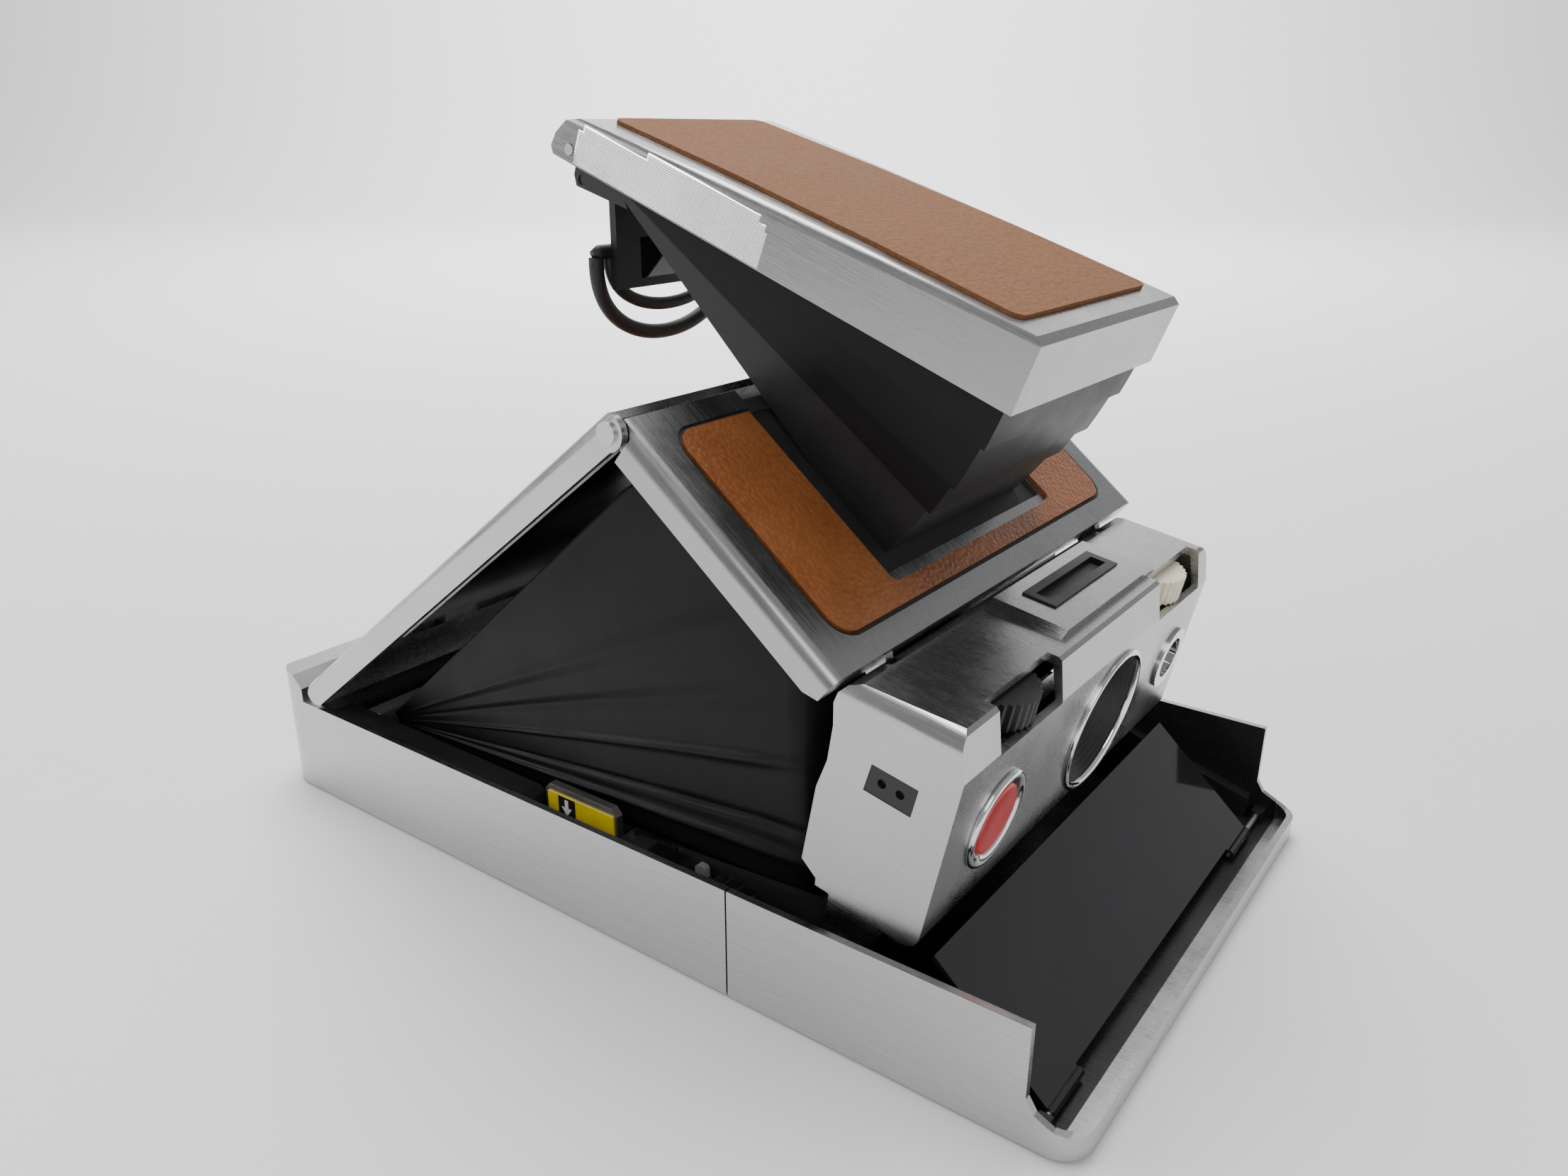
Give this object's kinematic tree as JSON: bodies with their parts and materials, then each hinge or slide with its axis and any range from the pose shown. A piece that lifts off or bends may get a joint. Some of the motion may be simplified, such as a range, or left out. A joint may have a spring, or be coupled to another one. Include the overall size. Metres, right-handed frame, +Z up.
{
  "type": "folding instant camera",
  "caption": "Folding single-lens reflex instant camera standing erected: hinged covers, bellows, lens housing, hood viewfinder and drop-down film door.",
  "frame": {"origin": "middle of the underside of the base", "axes": "+X to the lens side, +Y to the camera's left side, +Z up"},
  "size_m": [0.178, 0.105, 0.1289],
  "materials": {
    "metal": "brushed, plated plastic and steel",
    "leather": "grained tan leather",
    "frame_plastic": "matte black",
    "gloss_black": "glossy black",
    "hood_plastic": "satin black",
    "rubber": "matte black rubber",
    "steel": "plain steel",
    "brass": "plain brass",
    "gear_plastic": "black nylon",
    "mirror": "front-silvered",
    "clear": "clear",
    "white": "white",
    "yellow": "printed label",
    "chrome": "polished",
    "red": "satin red",
    "black_wheel": "black",
    "ivory": "ivory"
  },
  "bodies": {
    "base": {"base_shell": "metal", "base_leather": "leather", "inner_frame": "frame_plastic", "tripod_bush": "steel", "counter_window": "clear", "drive_motor": "steel", "mirror_carrier": "frame_plastic", "viewing_mirror": "mirror", "bellows": "rubber", "frame_screws": "steel", "battery_contacts": "brass"},
    "counter_dial": {"counter_dial": "white"},
    "pick_arm": {"pick_arm": "steel"},
    "motor_pinion": {"motor_pinion": "brass"},
    "drive_gear": {"drive_gear": "gear_plastic"},
    "door_latch": {"door_latch": "steel", "latch_label": "yellow"},
    "support_strut": {"support_strut": "steel"},
    "film_door": {"door_shell": "metal", "door_leather": "leather", "door_liner": "frame_plastic", "roller_brackets": "steel", "panel_pins": "steel"},
    "lower_roller": {"lower_roller": "steel"},
    "upper_roller": {"upper_roller": "steel"},
    "front_panel": {"front_panel": "gloss_black"},
    "rear_cover": {"rear_cover": "metal", "rear_leather": "leather", "taking_mirror": "mirror", "apex_pins": "steel"},
    "front_cover": {"front_cover": "metal", "front_leather": "leather", "viewfinder_frame": "frame_plastic", "cap_pins": "steel"},
    "lower_hood": {"lower_hood": "hood_plastic"},
    "middle_hood": {"middle_hood": "hood_plastic"},
    "upper_hood": {"upper_hood": "hood_plastic"},
    "viewfinder_cap": {"viewfinder_cap": "metal", "cap_leather": "leather", "cap_mirror": "mirror"},
    "eyepiece": {"eyepiece_frame": "frame_plastic", "eyepiece_lens": "clear", "eyecup": "rubber"},
    "lens_housing": {"lens_housing": "metal", "housing_back": "frame_plastic", "lens_ring": "chrome", "lens_glass": "clear", "button_ring": "chrome", "photocell_ring": "chrome", "photocell_lens": "clear", "flash_socket": "frame_plastic", "remote_socket": "frame_plastic", "housing_pins": "steel"},
    "shutter_button": {"shutter_button": "red"},
    "focus_wheel": {"focus_wheel": "black_wheel"},
    "exposure_wheel": {"exposure_wheel": "ivory"}
  },
  "joints": [
    {"name": "fold", "type": "hinge", "parent": "base", "child": "lens_housing", "pos_m": [0.0483, 0, 0.016], "axis": [0, 1, 0], "range_deg": [0, 79], "deforming": ["bellows"]},
    {"name": "front_cover_fold", "type": "hinge", "parent": "lens_housing", "child": "front_cover", "pos_m": [0.0484, 0, 0.0523], "axis": [0, 1, 0], "range_deg": [-118.8, 0.1]},
    {"name": "rear_cover_fold", "type": "hinge", "parent": "front_cover", "child": "rear_cover", "pos_m": [0.0108, 0, 0.0873], "axis": [0, 1, 0], "range_deg": [-0.1, 75.7]},
    {"name": "door_open", "type": "hinge", "parent": "base", "child": "film_door", "pos_m": [0.031, 0, 0.0005], "axis": [0, 1, 0], "range_deg": [0, 55]},
    {"name": "panel_fold", "type": "hinge", "parent": "film_door", "child": "front_panel", "pos_m": [0.0823, 0, 0.0025], "axis": [0, 1, 0], "range_deg": [-44.1, 0.1]},
    {"name": "cap_fold", "type": "hinge", "parent": "front_cover", "child": "viewfinder_cap", "pos_m": [-0.0204, 0, 0.1241], "axis": [0, 1, 0], "range_deg": [-0.1, 19.9]},
    {"name": "upper_hood_fold", "type": "hinge", "parent": "front_cover", "child": "upper_hood", "pos_m": [-0.0204, 0, 0.1241], "axis": [0, 1, 0], "range_deg": [-0.1, 15.1]},
    {"name": "middle_hood_fold", "type": "hinge", "parent": "front_cover", "child": "middle_hood", "pos_m": [-0.0204, 0, 0.1241], "axis": [0, 1, 0], "range_deg": [-0.1, 11.1]},
    {"name": "lower_hood_fold", "type": "hinge", "parent": "front_cover", "child": "lower_hood", "pos_m": [-0.0204, 0, 0.1241], "axis": [0, 1, 0], "range_deg": [-0.1, 7.1]},
    {"name": "eyepiece_fold", "type": "hinge", "parent": "front_cover", "child": "eyepiece", "pos_m": [-0.022, 0, 0.1194], "axis": [0, 1, 0], "range_deg": [-63.1, 0.1]},
    {"name": "strut_fold", "type": "hinge", "parent": "base", "child": "support_strut", "pos_m": [-0.022, 0, 0.017], "axis": [0, 1, 0], "range_deg": [-0.1, 64.1]},
    {"name": "pinion_spin", "type": "hinge", "parent": "base", "child": "motor_pinion", "pos_m": [0.0168, 0, 0.01], "axis": [0, 1, 0], "continuous": true},
    {"name": "gear_spin", "type": "hinge", "parent": "base", "child": "drive_gear", "pos_m": [0.0273, 0, 0.01], "axis": [0, 1, 0], "continuous": true},
    {"name": "lower_roller_spin", "type": "hinge", "parent": "film_door", "child": "lower_roller", "pos_m": [0.037, 0, 0.006], "axis": [0, 1, 0], "continuous": true},
    {"name": "upper_roller_spin", "type": "hinge", "parent": "film_door", "child": "upper_roller", "pos_m": [0.037, 0, 0.0118], "axis": [0, 1, 0], "continuous": true},
    {"name": "counter_turn", "type": "hinge", "parent": "base", "child": "counter_dial", "pos_m": [-0.0825, -0.026, 0.02155], "axis": [0, 0, 1], "continuous": true},
    {"name": "pick_slide", "type": "slide", "parent": "base", "child": "pick_arm", "axis": [1, 0, 0], "range_m": [0, 0.008]},
    {"name": "latch_slide", "type": "slide", "parent": "base", "child": "door_latch", "axis": [0, 0, -1], "range_m": [0, 0.002], "stiffness_N_per_m": 400, "springref_m": -0.001},
    {"name": "button_press", "type": "slide", "parent": "lens_housing", "child": "shutter_button", "axis": [-0.979, 0, 0.2036], "range_m": [0, 0.0009], "stiffness_N_per_m": 300, "springref_m": -0.001},
    {"name": "focus_turn", "type": "hinge", "parent": "lens_housing", "child": "focus_wheel", "pos_m": [0.05919, -0.027, 0.05188], "axis": [0.2036, 0, 0.979], "range_deg": [0, 150]},
    {"name": "exposure_turn", "type": "hinge", "parent": "lens_housing", "child": "exposure_wheel", "pos_m": [0.05919, 0.033, 0.05188], "axis": [0.2036, 0, 0.979], "range_deg": [-45, 45]}
  ],
  "couplings": [
    {"joint": "front_cover_fold", "follows": "fold", "ratio": -1.5025},
    {"joint": "rear_cover_fold", "follows": "fold", "ratio": 0.95729},
    {"joint": "panel_fold", "follows": "fold", "ratio": -0.55696},
    {"joint": "cap_fold", "follows": "fold", "ratio": 0.25063},
    {"joint": "upper_hood_fold", "follows": "fold", "ratio": 0.18987},
    {"joint": "middle_hood_fold", "follows": "fold", "ratio": 0.13924},
    {"joint": "lower_hood_fold", "follows": "fold", "ratio": 0.088608},
    {"joint": "eyepiece_fold", "follows": "fold", "ratio": -0.79747},
    {"joint": "strut_fold", "follows": "fold", "ratio": 0.81013},
    {"joint": "gear_spin", "follows": "lower_roller_spin", "ratio": -0.5},
    {"joint": "pinion_spin", "follows": "lower_roller_spin", "ratio": 1},
    {"joint": "upper_roller_spin", "follows": "lower_roller_spin", "ratio": -1}
  ]
}
